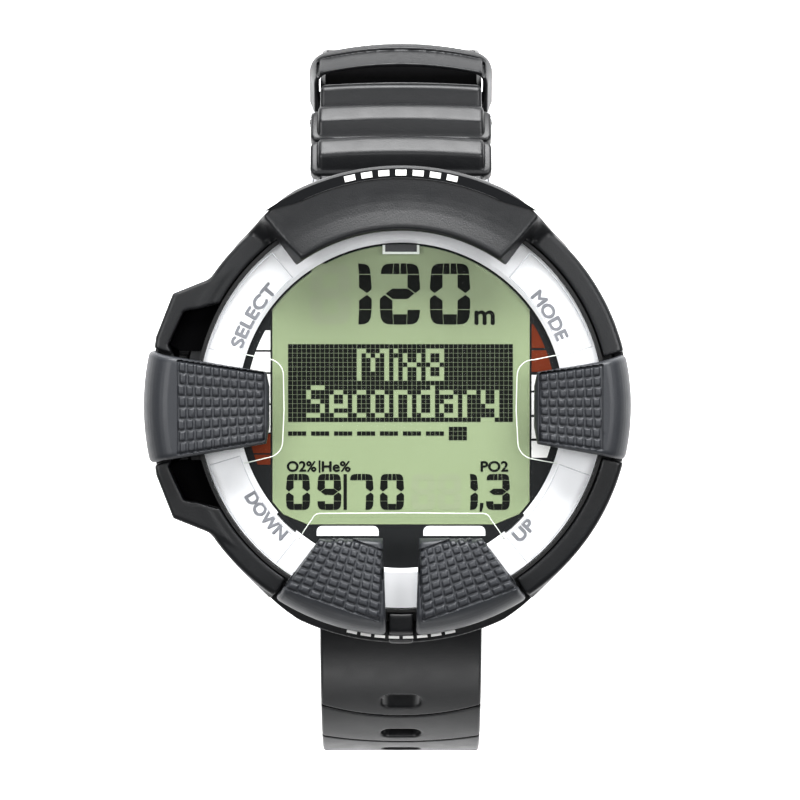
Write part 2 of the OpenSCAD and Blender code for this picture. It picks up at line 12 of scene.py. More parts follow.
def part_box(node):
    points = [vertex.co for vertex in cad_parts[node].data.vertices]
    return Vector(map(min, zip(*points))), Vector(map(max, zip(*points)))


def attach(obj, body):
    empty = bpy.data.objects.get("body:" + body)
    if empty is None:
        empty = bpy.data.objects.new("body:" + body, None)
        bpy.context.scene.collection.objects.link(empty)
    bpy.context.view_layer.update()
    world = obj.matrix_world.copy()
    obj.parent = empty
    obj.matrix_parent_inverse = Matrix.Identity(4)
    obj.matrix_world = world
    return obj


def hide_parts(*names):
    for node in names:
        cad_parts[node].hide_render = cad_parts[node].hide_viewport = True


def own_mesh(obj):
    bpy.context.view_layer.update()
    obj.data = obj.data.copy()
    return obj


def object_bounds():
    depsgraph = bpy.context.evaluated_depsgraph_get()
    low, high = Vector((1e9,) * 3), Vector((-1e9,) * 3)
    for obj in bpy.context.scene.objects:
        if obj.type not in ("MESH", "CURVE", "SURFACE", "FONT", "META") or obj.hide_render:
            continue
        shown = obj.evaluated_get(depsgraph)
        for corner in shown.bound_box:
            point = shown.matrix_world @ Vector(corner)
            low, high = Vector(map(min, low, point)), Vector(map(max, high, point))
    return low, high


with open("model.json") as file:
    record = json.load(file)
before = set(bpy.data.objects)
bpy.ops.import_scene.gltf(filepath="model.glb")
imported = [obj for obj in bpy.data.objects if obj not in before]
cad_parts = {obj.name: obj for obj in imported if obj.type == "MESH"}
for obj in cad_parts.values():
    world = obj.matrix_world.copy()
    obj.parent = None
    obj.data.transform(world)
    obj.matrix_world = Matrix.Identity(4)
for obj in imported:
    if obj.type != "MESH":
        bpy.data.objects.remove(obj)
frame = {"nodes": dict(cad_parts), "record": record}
cad_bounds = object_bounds()
MM = 0.001
COARSE = 1.0


def node_box(name):
    """Lowest and highest corner of a CAD node, in millimetres."""
    low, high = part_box(name)
    return np.array(low) / MM, np.array(high) / MM


# ---------------------------------------------------------------- modelling by distance fields
# A shape is a function that gives the signed distance of each grid point to its surface, below zero
# inside. Fields are joined, cut and rounded by arithmetic, and a surface net turns one into a mesh.


def grid(low, high, step):
    """Open X, Y and Z coordinates of a box, with its first corner and the step used."""
    step *= COARSE
    axes = [np.arange(a - 2.5 * step, b + 2.5 * step, step, dtype=np.float32) for a, b in zip(low, high)]
    return np.meshgrid(*axes, indexing="ij", sparse=True), np.array([a[0] for a in axes]), step


def join(a, b, soft=0.0):
    """Union of two fields, with a fillet of about soft."""
    if not soft:
        return np.minimum(a, b)
    h = np.maximum(soft - np.abs(a - b), 0) / soft
    return np.minimum(a, b) - h * h * soft / 4


def cut(a, b, soft=0.0):
    """Field a without field b."""
    return -join(-a, b, soft)


def common(a, b, soft=0.0):
    """What two fields share, with its new edge rounded by about soft."""
    return -join(-a, -b, soft)


def polygon_field(u, v, points):
    """Distance of points (u, v) to a closed outline."""
    points = np.asarray(points, np.float32)
    best = np.full(np.broadcast(u, v).shape, 1e9, np.float32)
    inside = np.zeros(best.shape, bool)
    for p, q in zip(points, np.roll(points, -1, axis=0)):
        ex, ey = q - p
        wx, wy = u - p[0], v - p[1]
        t = np.clip((wx * ex + wy * ey) / max(ex * ex + ey * ey, 1e-12), 0, 1)
        best = np.minimum(best, (wx - ex * t) ** 2 + (wy - ey * t) ** 2)
        crosses = (p[1] <= v) != (q[1] <= v)
        if ey:
            inside ^= crosses & (u < p[0] + ex * (v - p[1]) / ey)
    return np.where(inside, -1, 1).astype(np.float32) * np.sqrt(best)


def prism(flat, z, low, high, round_edge=0.0):
    """A flat field given height, with its top and bottom edges rounded."""
    a = flat + round_edge
    b = np.abs(z - (low + high) / 2) - (high - low) / 2 + round_edge
    outer = np.sqrt(np.maximum(a, 0) ** 2 + np.maximum(b, 0) ** 2)
    return outer + np.minimum(np.maximum(a, b), 0) - round_edge


def turned(radius, z, outline):
    """Distance to a solid of revolution, by looking its (radius, z) outline up in a fine table."""
    outline = np.asarray(outline, np.float32)
    fine = 0.08
    low = np.array([float(radius.min()), float(z.min())]) - fine
    size = [int((float(radius.max()) - low[0]) / fine) + 3, int((float(z.max()) - low[1]) / fine) + 3]
    us = (low[0] + fine * np.arange(size[0], dtype=np.float32))[:, None]
    vs = (low[1] + fine * np.arange(size[1], dtype=np.float32))[None, :]
    table = polygon_field(us, vs, outline)
    u, v = (radius - low[0]) / fine, (z - low[1]) / fine
    i, j = u.astype(np.int32), v.astype(np.int32)
    fu, fv = u - i, v - j
    low_side = table[i, j] * (1 - fu) + table[i + 1, j] * fu
    high_side = table[i, j + 1] * (1 - fu) + table[i + 1, j + 1] * fu
    return low_side * (1 - fv) + high_side * fv


def box_field(x, y, z, low, high, round_edge):
    """A box between two corners, with rounded edges."""
    low, high = np.array(low, float), np.array(high, float)
    mid, half = (low + high) / 2, (high - low) / 2 - round_edge
    parts = [np.abs(c - m) - h for c, m, h in zip((x, y, z), mid, half)]
    outer = np.sqrt(sum(np.maximum(p, 0) ** 2 for p in parts))
    return outer + np.minimum(np.maximum(np.maximum(parts[0], parts[1]), parts[2]), 0) - round_edge


def net_faces(inside, ids, n):
    """One quad for each grid edge that crosses the surface, turned to face outwards."""
    quads = []
    for axis in range(3):
        u, v = (axis + 1) % 3, (axis + 2) % 3
        take = [slice(None)] * 3
        take[axis] = slice(0, -1)
        first = inside[tuple(take)]
        take[axis] = slice(1, None)
        crossing = np.argwhere(first != inside[tuple(take)])
        crossing = crossing[(crossing[:, u] > 0) & (crossing[:, v] > 0)]
        crossing = crossing[(crossing[:, u] < n[u]) & (crossing[:, v] < n[v])]
        starts = inside[tuple(crossing.T)]
        ring = []
        for du, dv in ((1, 1), (0, 1), (0, 0), (1, 0)):
            at = crossing.copy()
            at[:, u] -= du
            at[:, v] -= dv
            ring.append(ids[tuple(at.T)])
        ring = np.stack(ring, 1)
        ring[~starts] = ring[~starts][:, ::-1]
        quads.append(ring)
    return np.concatenate(quads)


def surface_net(field, origin, step):
    """Vertices and faces of the surface where the field is zero, one vertex to a crossed cell."""
    inside = field < 0
    corners = [(a, b, c) for a in (0, 1) for b in (0, 1) for c in (0, 1)]
    n = [s - 1 for s in field.shape]
    count = sum(inside[a : a + n[0], b : b + n[1], c : c + n[2]].astype(np.int8) for a, b, c in corners)
    cells = np.argwhere((count > 0) & (count < 8))
    ids = np.full(n, -1, np.int32)
    ids[tuple(cells.T)] = np.arange(len(cells))
    values = {c: field[cells[:, 0] + c[0], cells[:, 1] + c[1], cells[:, 2] + c[2]] for c in corners}
    total, hits = np.zeros((len(cells), 3)), np.zeros(len(cells))
    for a in corners:
        for axis in range(3):
            if a[axis]:
                continue
            b = tuple(v + (i == axis) for i, v in enumerate(a))
            crossed = (values[a] < 0) != (values[b] < 0)
            t = np.where(crossed, values[a] / np.where(crossed, values[a] - values[b], 1), 0)
            point = np.tile(np.array(a, float), (len(cells), 1))
            point[:, axis] += t
            total += point * crossed[:, None]
            hits += crossed
    verts = (cells + total / hits[:, None]) * step + origin
    return verts, net_faces(inside, ids, n)


def new_object(name, verts, faces, material, body, smooth=True):
    """A mesh piece from millimetre points. It rides on a body and takes a material."""
    mesh = bpy.data.meshes.new(name)
    mesh.from_pydata((np.asarray(verts) * MM).tolist(), [], [list(map(int, f)) for f in faces])
    if smooth:
        mesh.polygons.foreach_set("use_smooth", [True] * len(mesh.polygons))
    mesh.materials.append(material)
    mesh.update()
    obj = bpy.data.objects.new(name, mesh)
    bpy.context.scene.collection.objects.link(obj)
    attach(obj, body)
    return obj


def moulded(name, field, origin, step, material, body, bend=None, keep=1.0):
    """A piece from a field. bend maps its points, and keep is the share of its triangles that stays."""
    verts, faces = surface_net(field, origin, step)
    if bend:
        verts = bend(verts)
    obj = new_object(name, verts, faces, material, body)
    if keep < 1:
        thin = obj.modifiers.new("thin", "DECIMATE")
        thin.ratio = keep
        bpy.context.view_layer.objects.active = obj
        with bpy.context.temp_override(object=obj, active_object=obj, selected_objects=[obj]):
            bpy.ops.object.modifier_apply(modifier="thin")
    return obj


# ---------------------------------------------------------------- materials


def ranged(tree, source, low, high):
    """A value of 0 to 1 mapped to a range."""
    node = tree.nodes.new("ShaderNodeMapRange")
    node.inputs["To Min"].default_value = low
    node.inputs["To Max"].default_value = high
    tree.links.new(source, node.inputs["Value"])
    return node.outputs["Result"]


def noise(tree, source, width, detail, stretch=None):
    """Noise with features of a width in millimetres, drawn out along X if stretch is given."""
    node = tree.nodes.new("ShaderNodeTexNoise")
    node.inputs["Scale"].default_value = 1 / width
    node.inputs["Detail"].default_value = detail
    if stretch:
        squeeze = tree.nodes.new("ShaderNodeMapping")
        squeeze.inputs["Scale"].default_value = stretch
        tree.links.new(source, squeeze.inputs["Vector"])
        source = squeeze.outputs["Vector"]
    tree.links.new(source, node.inputs["Vector"])
    return node.outputs["Fac"]


def surface(name, color, rough, metal=0.0, grain=0.0, grain_size=0.25, blotch=0.06, rough_spread=0.08,
            scratches=0.0, coat=0.0, alpha=1.0, specular=0.5, slot=None):
    """A procedural material. grain is the height of its fine texture and grain_size the width of one
    grain, both in millimetres; blotch varies its tone, and scratches draws fine brushed lines."""
    mat = bpy.data.materials.new(name)
    mat.use_nodes = True
    tree = mat.node_tree
    nodes, links = tree.nodes, tree.links
    shader = nodes["Principled BSDF"]
    for socket, value in (("Metallic", metal), ("Coat Weight", coat), ("Alpha", alpha),
                          ("Specular IOR Level", specular)):
        shader.inputs[socket].default_value = value
    place = nodes.new("ShaderNodeTexCoord")
    scale = nodes.new("ShaderNodeMapping")
    scale.inputs["Scale"].default_value = (1 / MM, 1 / MM, 1 / MM)
    links.new(place.outputs["Object"], scale.inputs["Vector"])
    millimetres = scale.outputs["Vector"]
    fine = noise(tree, millimetres, grain_size, 3.0, (0.08, 1, 1) if scratches else None)
    both = nodes.new("ShaderNodeMath")
    both.operation = "MULTIPLY"
    broad = noise(tree, millimetres, 7.0, 3.0)
    links.new(ranged(tree, broad, 1 - blotch, 1 + blotch), both.inputs[0])
    links.new(ranged(tree, fine, 1 - 2 * blotch, 1 + 2 * blotch), both.inputs[1])
    paint = nodes.new("ShaderNodeVectorMath")
    paint.operation = "SCALE"
    paint.inputs[0].default_value = color[:3]
    links.new(both.outputs["Value"], paint.inputs["Scale"])
    links.new(paint.outputs["Vector"], shader.inputs["Base Color"])
    rub = noise(tree, millimetres, 2.2, 4.0)
    smooth, dull = max(rough - rough_spread, 0.02), min(rough + rough_spread, 1)
    links.new(ranged(tree, rub, smooth, dull), shader.inputs["Roughness"])
    if grain or scratches:
        bump = nodes.new("ShaderNodeBump")
        bump.inputs["Distance"].default_value = (grain or scratches) * MM
        bump.inputs["Strength"].default_value = 1.0
        links.new(fine, bump.inputs["Height"])
        links.new(bump.outputs["Normal"], shader.inputs["Normal"])
    mat["slot"] = slot or name
    return mat


def linear(red, green, blue):
    """An sRGB colour of 0 to 255 as the linear values a shader takes."""
    return tuple(((c / 255 + 0.055) / 1.055) ** 2.4 if c > 10 else c / 255 / 12.92
                 for c in (red, green, blue))


MATERIALS = {
    "case": surface("case_plastic", linear(32, 33, 35), 0.5, grain=0.02, slot="case_plastic"),
    "bezel": surface("bezel_plastic", linear(25, 26, 28), 0.38, grain=0.02, grain_size=0.2,
                     specular=0.46, slot="bezel_plastic"),
    "pad": surface("button_rubber", linear(52, 54, 58), 0.42, grain=0.014, grain_size=0.2, specular=0.5,
                   slot="button_rubber"),
    "strap": surface("strap_rubber", linear(24, 25, 27), 0.36, grain=0.014, grain_size=0.2, specular=0.5,
                     slot="strap_rubber"),
    "band": surface("bezel_band", linear(22, 23, 25), 0.5, grain=0.01, specular=0.12,
                    slot="bezel_plastic"),
    # near-black matt material of painted shade, for the guard's pockets and the strap under the keeper
    "void": surface("painted_shade_black", linear(8, 8, 9), 0.9, blotch=0.1, specular=0.02,
                    slot="bezel_plastic"),
    "seal": surface("seal_rubber", linear(22, 22, 22), 0.45, grain=0.004, slot="seal_rubber"),
    "window": surface("window_clear", linear(120, 126, 124), 0.05, blotch=0.01, rough_spread=0.02,
                      alpha=0.02, specular=0.3, slot="window_clear"),
    # near-white: painted highlight for the light caught by clear edges
    "edge": surface("painted_edge_highlight", linear(226, 232, 224), 0.2, blotch=0.02, slot="window_clear"),
    # light grey: painted shading along the bevels of the window's raised panels
    "panel_edge_shading": surface("panel_edge_shading", linear(176, 178, 182), 0.4, blotch=0.02, slot="window_clear"),
    "ring": surface("ring_white", linear(238, 239, 241), 0.32, grain=0.003, grain_size=0.12,
                    blotch=0.015, coat=0.3, slot="ring_white"),
    "dial": surface("dial_print", linear(26, 27, 29), 0.55, grain=0.003, specular=0.15,
                    slot="dial_print"),
    "lcd": surface("lcd_glass", linear(142, 156, 122), 0.35, blotch=0.02, grain=0.001, slot="lcd_glass"),
    "ink": surface("lcd_ink", linear(14, 16, 12), 0.6, blotch=0.05, specular=0.05, slot="lcd_glass"),
    "ghost": surface("lcd_ghost", linear(143, 154, 125), 0.4, blotch=0.02, slot="lcd_glass"),
    "orange": surface("print_orange", linear(108, 44, 16), 0.6, blotch=0.03, specular=0.1,
                      slot="dial_print"),
    "white": surface("print_white", linear(238, 238, 236), 0.5, blotch=0.02, slot="dial_print"),
    "grey": surface("print_grey", linear(128, 130, 135), 0.5, blotch=0.02, slot="ring_white"),
    "guide": surface("guide_plastic", linear(215, 225, 215), 0.3, slot="guide_plastic"),
    "strips": surface("strip_rubber", linear(196, 150, 165), 0.6, grain=0.01, grain_size=0.1,
                      slot="strip_rubber"),
    "frame": surface("frame_plastic", linear(226, 226, 222), 0.45, grain=0.006, slot="frame_plastic"),
    "board": surface("board_green", linear(28, 92, 52), 0.3, grain=0.006, grain_size=0.8, blotch=0.12,
                     coat=0.4, slot="board_green"),
    "chip": surface("chip_black", linear(30, 30, 31), 0.55, grain=0.008, grain_size=0.1,
                    slot="chip_black"),
    "steel": surface("steel", linear(196, 197, 198), 0.28, metal=1.0, scratches=0.004, grain_size=0.1,
                     slot="steel"),
    "buckle": surface("buckle_steel", linear(176, 177, 180), 0.38, metal=1.0, grain=0.006,
                      grain_size=0.12, slot="buckle_steel"),
    "brass": surface("brass", linear(214, 178, 96), 0.3, metal=1.0, scratches=0.004, grain_size=0.12,
                     slot="brass"),
    "ferrite": surface("ferrite", linear(60, 60, 62), 0.6, grain=0.01, slot="ferrite"),
    "copper": surface("copper_wire", linear(190, 104, 58), 0.32, metal=1.0, scratches=0.02,
                      grain_size=0.18, slot="copper_wire"),
    "cell": surface("cell_can", linear(205, 206, 206), 0.25, metal=1.0, scratches=0.003, grain_size=0.1,
                    slot="cell_can"),
    "lock": surface("lock_ring_plastic", linear(62, 63, 66), 0.45, grain=0.015, grain_size=0.2,
                    slot="lock_ring_plastic"),
}
BY_SLOT = {mat["slot"]: mat for mat in reversed(MATERIALS.values())}


def dress_frame():
    """Gives each CAD node the material of its slot in the record."""
    for entry in frame["record"]["subparts"]:
        mesh = frame["nodes"][entry["node"]].data
        mesh.materials.clear()
        mesh.materials.append(BY_SLOT[entry["material_slot"]])


# ---------------------------------------------------------------- sizes of the case, in millimetres

CASE_R = 29.8
CORE_R = 28.35
HOOD_R = 31.1
SHELF_Z = 22.6
CREST_Z = 27.8
ARCH_BAND_TOP = 26.14
PAD_FLOOR = 19.3
PAD_GAP = 0.35
GUARD_FLOOR = 14.5
POCKET_FLOOR = 19.2
UNDER_PAD = 23.5
WINDOW_TOP = node_box("label_ring")[1][2] + 2.8
LCD_TOP = node_box("lcd_panel")[1][2]
DIAL_TOP = node_box("dial_plate")[1][2]
BUTTONS = {"select": 180.0, "mode": 0.0, "down": 250.6, "up": 289.4}


def polar(radius, angle):
    """Point in plan at an angle in degrees."""
    return (radius * math.cos(math.radians(angle)), radius * math.sin(math.radians(angle)))


def arc(cx, cy, radius, start, end, count=8):
    """Points along an arc, both ends included."""
    angles = [start + (end - start) * i / count for i in range(count + 1)]
    return [(cx + radius * math.cos(math.radians(a)), cy + radius * math.sin(math.radians(a)))
            for a in angles]


def pad_outline(button, grow=0.0):
    """Plan of a button pad, wider than the case so that its turned profile ends it."""
    g = grow
    if button == "select":
        return [(-17.0 + g, 2.6), (-17.4 + g, 4.5 + g), (-30.6, 6.7 + g), (-36, 8.6 + g),
                (-36, -8.6 - g), (-30.6, -6.9 - g), (-17.4 + g, -4.8 - g), (-17.0 + g, -2.6)]
    if button == "mode":
        return [(17.2 - g, 2.6), (17.6 - g, 4.5 + g), (25.6, 5.8 + g), (33, 8 + g),
                (33, -8 - g), (25.6, -6.2 - g), (17.6 - g, -4.8 - g), (17.2 - g, -2.6)]
    down = [(-2.3 + g, -17 + g), (-10.6 - g, -17 + g), (-14.5 - g, -22.2), (-15.6 - g, -24),
            (-20.6 - g, -29), (-14, -36), (-1.7 + g, -36)]
    return down if button == "down" else [(-px, py) for px, py in down]


# ---------------------------------------------------------------- bezel


def hood_field(x, y):
    """Plan of the two hoods over the strap lugs: a wider arc with straight flanks."""
    wide = np.sqrt(x * x + y * y) - HOOD_R
    flanks = polygon_field(np.abs(x), np.abs(y), [(0, 0), polar(29.8, 44), polar(31.6, 62), (0, 60)])
    flanks = np.where(np.abs(x) < 12, -5, flanks)
    return common(wide, flanks, 1.5)


def guard_field(x, y):
    """Plans of the guard that stands out on the left, around the wide button, and of its pockets."""
    solid = polygon_field(x, np.abs(y), [(-20, -1), (-20, 19.2), (-24.6, 16.6), (-29.6, 14.6),
                                         (-31.8, 9), (-33.2, -1)])
    hole = polygon_field(x, np.abs(y), [polar(27, 170), polar(27, 161), polar(27, 152), (-23.6, 13.4),
                                        (-28.2, 12.2), (-30.2, 7.9), (-28.9, 5.2)])
    return solid, hole


def arch_rim(radius):
    """Height of the plain rim round the outside of the arch."""
    return CREST_Z - 1.66 - 0.13 * (radius - 28.4)


def arch_field(x, y, z):
    """The high arch above the display, with its two ends cut at a slant and flared at the foot."""
    radius = np.sqrt(x * x + y * y)
    outline = ([(22.7, 24.55), (22.72, 27.0)] + arc(23.25, 27.15, 0.5, 165, 70, 5)
               + [(25.4, 26.86), (26.5, 26.52), (27.5, 26.29), (28.4, arch_rim(28.4))]
               + [(30.6, arch_rim(30.6)), (30.95, 25.2), (HOOD_R, 24.4), (HOOD_R, 21)]
               + [(HOOD_R - 0.2, 14), (28.4, 14), (28.4, 22.2), (26.95, 22.4), (26.95, 24.55)])
    arch = turned(radius, z, outline)
    arch = common(arch, np.minimum(hood_field(x, y), radius - CASE_R), 0.2)

    def end_plane(angle, lean, foot):
        across = -np.abs(x) * math.sin(math.radians(angle)) + y * math.cos(math.radians(angle))
        return ((z - foot) * math.tan(math.radians(lean)) - across) * math.cos(math.radians(lean))

    inner = common(arch, end_plane(53.3, 22, 24.6), 0.35)
    flare = common(np.maximum(arch, z - 25.9), end_plane(49.6, 48, 22.4), 0.3)
    flare = common(flare, 27.6 - radius, 0.4)
    return np.maximum(inner, -y), np.maximum(flare, -y)


def bezel_field(x, y, z):
    """The case-wide ring with its shelf, the two hoods, the guard and the arch, less the pad gaps."""
    radius = np.sqrt(x * x + y * y)
    outline = ([(CORE_R, 12), (29.2, 12)] + arc(29.2, 12.6, 0.6, -90, 0, 4) + [(CASE_R, 21.5)]
               + arc(29.0, 21.7, 0.8, 0, 80, 5) + [(27.4, SHELF_Z)] + arc(27.3, 22.3, 0.3, 90, 180, 3)
               + [(26.95, 20.6), (CORE_R, 20.6)])
    solid, hole = guard_field(x, y)
    ring = cut(turned(radius, z, outline), prism(hole, z, 20, 40))
    outside = CORE_R - radius
    hoods = common(prism(hood_field(x, y), z, 12, 21.3, 1.1), outside)
    guard = prism(solid, z, 13, SHELF_Z, 0.55)
    guard = common(cut(guard, prism(hole, z, GUARD_FLOOR, 40), 0.3), outside)
    body = join(join(ring, hoods, 0.5), guard, 0.4)
    arch, flare = arch_field(x, y, z)
    body = join(join(body, arch, 0.25), flare, 0.35)
    window_bay = np.maximum(radius - 26.9, np.maximum(20.4 - z, z - 24.5))
    body = cut(body, window_bay)
    for button in BUTTONS:
        gap = prism(polygon_field(x, y, pad_outline(button, PAD_GAP)), z, PAD_FLOOR, 40)
        body = cut(body, gap, 0.2)
    return body


def build_bezel():
    """The bezel in one piece, the dark band on its arch, and near-black painted shade in the guard's
    pockets.
    """
    low, high = node_box("bezel")
    (x, y, z), origin, step = grid(low - 0.6, high + 0.6, 0.2)
    piece = moulded("bezel_shell", bezel_field(x, y, z), origin, step, MATERIALS["bezel"], "case",
                    keep=0.45)
    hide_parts("bezel")
    band = arc(0, 0, 30.72, 55, 125, 40) + arc(0, 0, 29.5, 117, 63, 30)
    plates("arch_band", [band], ARCH_BAND_TOP - 0.4, ARCH_BAND_TOP, MATERIALS["band"])
    seam = [(px, py, ARCH_BAND_TOP) for px, py in arc(0, 0, 29.47, 64, 116, 30)]
    rod("arch_seam", seam, 0.055, MATERIALS["bezel"])
    for side, name in ((1, "upper"), (-1, "lower")):
        # near-black plates at the floor and step of each guard pocket: painted shade for the pocket's
        # dark inside
        pocket = [polar(26.5, 170.5), polar(26.5, 161), polar(26.5, 152.3), (-23.6, 13.3),
                  (-28.0, 12.05), (-29.95, 7.95), (-28.7, 5.4)]
        shadow = [(px, side * py) for px, py in pocket]
        plates(name + "_pocket_shade_floor", [shadow], POCKET_FLOOR - 0.5, POCKET_FLOOR, MATERIALS["void"])
        beyond_pad = [(px, side * max(py, 7.1)) for px, py in pocket]
        plates(name + "_pocket_shade_step", [beyond_pad], 19.95, 20.75, MATERIALS["void"])


# ---------------------------------------------------------------- button pads


def knurl(along, across, first, last, half_in, half_out, columns, rows):
    """Depth, from 0 on top of a block to 1 in the grooves, of a grid of small blocks that fans out."""
    share = np.clip((along - first) / (last - first), 0, 1)
    half = half_in + (half_out - half_in) * share
    pitch_u, pitch_v = (last - first) / columns, 2 * half / rows
    u = (along - first) / pitch_u
    v = (across + half) / pitch_v
    row = np.floor(v)
    u = u + 0.12 * np.sin(row * 2.1)
    edge_u = (0.5 - np.abs(u - np.floor(u) - 0.5)) * pitch_u
    edge_v = (0.5 - np.abs(v - np.floor(v) - 0.5)) * pitch_v
    half_groove, shoulder = 0.1, 0.18
    edge = np.minimum(edge_u, edge_v) - half_groove
    within = np.minimum(np.minimum(along - first, last - along), half - np.abs(across))
    depth = 1 - np.clip(edge / shoulder, 0, 1)
    depth = depth * depth * (3 - 2 * depth)
    return np.where(within > -0.12, np.where(within > 0.02, depth, 1), 0)


def pad_field(button, x, y, z):
    """A pad: a turned profile cut to the pad's plan, with the knurl sunk into its top."""
    angle = math.radians(BUTTONS[button])
    radius = np.sqrt(x * x + y * y)
    outer, flat_r, inner = (33.4, 29.4, 15.6) if button == "select" else (29.87, 26.3, 16.0)
    if button in ("down", "up"):
        inner = 16.8
    side = outer - flat_r
    outline = ([(inner - 0.4, UNDER_PAD), (inner - 0.4, 24.3), (inner + 0.3, 24.95)]
               + arc(flat_r - 1, 1, 26, 107, 90, 6)
               + [(flat_r + side * u, 22.2 + 4.8 * v) for u, v in arc(0, 0, 1, 80, 0, 10)]
               + [(outer, 20.4), (outer - 0.2, 20.2), (outer - 1.5, 20.2), (outer - 1.5, UNDER_PAD)])
    body = turned(radius, z, outline)
    plan = polygon_field(x, y, pad_outline(button))
    body = common(body, plan + 0 * z, 0.9)
    along = x * math.cos(angle) + y * math.sin(angle)
    across = -x * math.sin(angle) + y * math.cos(angle)
    if button == "select":
        pattern = knurl(along, across, 17.7, 28.7, 4.3, 6.0, 10, 8)
    elif button == "mode":
        pattern = knurl(along, across, 17.9, 25.8, 4.3, 5.4, 7, 8)
    else:
        pattern = knurl(along, across, 18.3, 26.9, 4.1, 6.4, 8, 8)
    groove_depth, lowest_groove = 0.26, 23.9
    on_top = np.clip((z - lowest_groove) / 0.5, 0, 1)
    return body + groove_depth * pattern * on_top


def build_pad(button):
    """The knurled pad of one button, which rides with its stem."""
    node = button + "_pad"
    low, high = node_box(node)
    (x, y, z), origin, step = grid(low - 0.2, high + 0.3, 0.115)
    piece = moulded(node + "_shell", pad_field(button, x, y, z), origin, step, MATERIALS["pad"],
                    button + "_button", keep=0.5)
    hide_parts(node)


# ---------------------------------------------------------------- straps, modelled flat and then bent

STRAP_HALF = 10.95
STRAP_SKIN = 1.3  # half the strap's thickness
LONG_R, SHORT_R, WIDE_R = 29.0, 27.4, 70.0
BEND_Y = 21.0
LUG_Y, LUG_Z = 26.0, 6.5
BUCKLE_ANGLE = 136
WIDE_FROM = 104


def bend_height(radius):
    """Height of the axis about which a strap of this outer radius is bent."""
    return LUG_Z + 1.7 - math.sqrt(radius ** 2 - (LUG_Y - BEND_Y) ** 2)


def along(angle, radius):
    """Length along the middle of the strap up to an angle of its bend."""
    return (radius - STRAP_SKIN) * math.radians(angle)


def bent_short(points):
    """Wraps (across, along, outwards) round the bend of the short strap."""
    middle = SHORT_R - STRAP_SKIN
    angle, radius = points[:, 1] / middle, middle + points[:, 2]
    y, z = BEND_Y + radius * np.sin(angle), bend_height(SHORT_R) + radius * np.cos(angle)
    return np.stack([points[:, 0], y, z], 1)


def bent_long(points):
    """The same for the long strap, on the other side, which goes on along a wider bend."""
    middle, wide_middle = LONG_R - STRAP_SKIN, WIDE_R - STRAP_SKIN
    turn = math.radians(WIDE_FROM)
    tight = points[:, 1] / middle
    later = tight > turn
    angle = np.where(later, turn + (points[:, 1] - middle * turn) / wide_middle, tight)
    radius = points[:, 2] + np.where(later, wide_middle, middle)
    centre_y = BEND_Y + np.where(later, (LONG_R - WIDE_R) * math.sin(turn), 0)
    centre_z = bend_height(LONG_R) + np.where(later, (LONG_R - WIDE_R) * math.cos(turn), 0)
    y = centre_y + radius * np.sin(angle)
    return np.stack([-points[:, 0], -y, centre_z + radius * np.cos(angle)], 1)


def eye_place(radius):
    """Where the strap pin lies, along the strap and outwards."""
    across, up = LUG_Y - BEND_Y, LUG_Z - bend_height(radius)
    middle = radius - STRAP_SKIN
    return middle * math.atan2(across, up), math.hypot(across, up) - middle


def band_field(x, s, n, eye, last):
    """A flat band with rounded edges, starting with the eye that turns on the strap pin."""
    middle, reach = (eye[0] + last) / 2, (last - eye[0]) / 2
    flat = np.maximum(np.abs(x) - STRAP_HALF, np.abs(s - middle) - reach)
    band = prism(flat + 0 * n, n, -STRAP_SKIN, STRAP_SKIN, 0.45)
    knuckle = np.maximum(np.hypot(s - eye[0], n - eye[1]) - 2.6, np.abs(x) - STRAP_HALF)
    return join(band, knuckle, 0.8)


def build_upper_strap():
    """The short strap: three raised rolls across it, two of them with flanges, and the buckle's eye."""
    (x, s, n), origin, step = grid((-12.3, 2.2, -3.3), (12.3, 64.6, 3.1), 0.2)
    end, eye = along(BUCKLE_ANGLE, SHORT_R), eye_place(SHORT_R)
    body = band_field(x, s, n, eye, end)
    first, last = along(25.5, SHORT_R) - 2.6, along(47.3, SHORT_R) + 2.2
    body = cut(body, np.maximum(np.maximum(first - s, s - last), 0.45 - n) + 0 * x)
    for angle, flanged in ((25.5, True), (36.4, True), (47.3, False)):
        middle = along(angle, SHORT_R)
        crown = 0.35 * (x / STRAP_HALF) ** 2
        near, top, tilt = (0.3, 1.7, 31) if flanged else (-0.6, 1.0, 2)
        facet = math.radians(tilt - angle)
        far = (near + 1.5 * math.cos(facet), top - 1.5 * math.sin(facet))
        scallop = [(-3.3, -1.2), (near + 1.7, -1.2), far, (near, top)]
        roll = polygon_field(s - middle + crown, n + 0.5 * crown, scallop) - 0.9
        roll = np.maximum(roll, -STRAP_SKIN - n)
        half = 11.15 if flanged else 10.9
        body = join(body, common(roll, np.abs(x) - half + 0 * n, 0.7), 0.12)
        if flanged:
            past_x = np.maximum(np.abs(x) - 11.2, 0)
            past_s = np.maximum(np.abs(s - middle) - 1.5, 0)
            flange = np.hypot(past_x, past_s) - 0.95
            body = join(body, prism(flange + 0 * n, n, -1.2, 1.15, 0.4), 0.1)
    body = join(body, np.maximum(np.hypot(s - end, n) - 2.4, np.abs(x) - STRAP_HALF), 0.6)
    notch = np.maximum(np.abs(x) - 2.9, end - 3.4 - s) + 0 * n
    bores = np.minimum(np.hypot(s - eye[0], n - eye[1]) - 0.8, np.hypot(s - end, n) - 1.05)
    body = cut(cut(body, notch, 0.2), bores)
    piece = moulded("upper_strap_shell", body, origin, step, MATERIALS["strap"], "upper_strap",
                    bend=bent_short, keep=0.5)
    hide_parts("buckle_strap")


